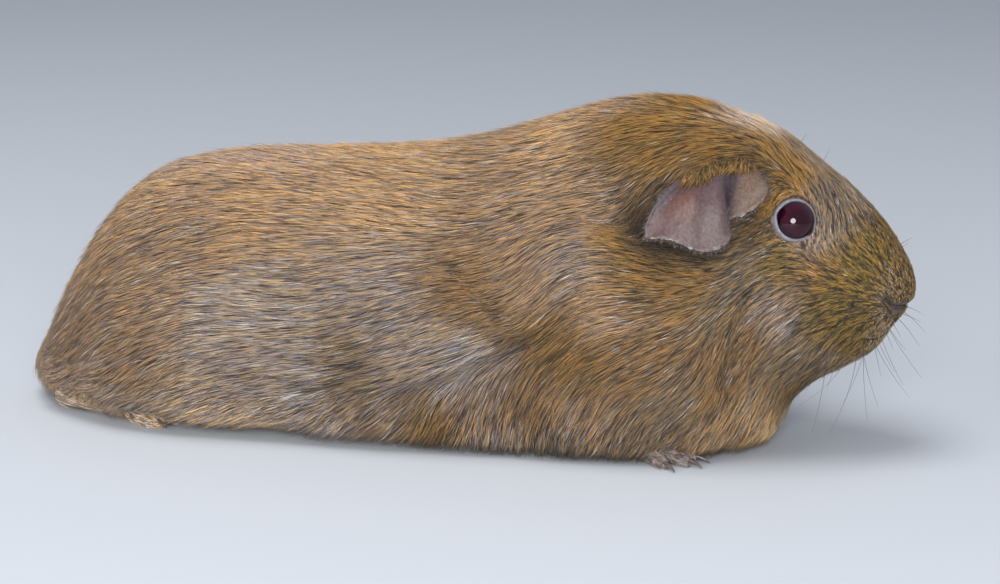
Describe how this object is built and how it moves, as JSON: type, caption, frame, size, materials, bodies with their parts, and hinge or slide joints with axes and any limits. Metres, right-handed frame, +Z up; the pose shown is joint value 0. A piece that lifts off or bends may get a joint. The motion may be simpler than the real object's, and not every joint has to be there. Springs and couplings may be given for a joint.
{
  "type": "guinea pig",
  "caption": "Life-size smooth-coated guinea pig crouched on the floor in a show stance, head raised a little, for a still display",
  "frame": {"origin": "on the floor, under the middle of the animal's bounding box", "axes": "+X towards the nose, +Y to the animal's left, +Z up"},
  "size_m": [0.2699, 0.0936, 0.1026],
  "materials": {
    "coat": "short agouti fur, golden brown tips over dark grey",
    "bare_skin": "thin matt skin of the ears",
    "eye": "wet gloss, dark ruby",
    "claw": "smooth horn"
  },
  "bodies": {
    "root": {"head": "coat", "neck": "coat", "trunk": "coat", "hindquarters": "coat", "thigh_right": "coat", "foreleg_right": "coat", "forefoot_right": "coat", "hindfoot_right": "coat", "thigh_left": "coat", "foreleg_left": "coat", "forefoot_left": "coat", "hindfoot_left": "coat", "ear_right": "bare_skin", "ear_left": "bare_skin", "eye_right": "eye", "eye_left": "eye", "claw_forefoot_right_1": "claw", "claw_forefoot_right_2": "claw", "claw_forefoot_right_3": "claw", "claw_forefoot_right_4": "claw", "claw_hindfoot_right_1": "claw", "claw_hindfoot_right_2": "claw", "claw_hindfoot_right_3": "claw", "claw_forefoot_left_1": "claw", "claw_forefoot_left_2": "claw", "claw_forefoot_left_3": "claw", "claw_forefoot_left_4": "claw", "claw_hindfoot_left_1": "claw", "claw_hindfoot_left_2": "claw", "claw_hindfoot_left_3": "claw"}
  },
  "joints": []
}
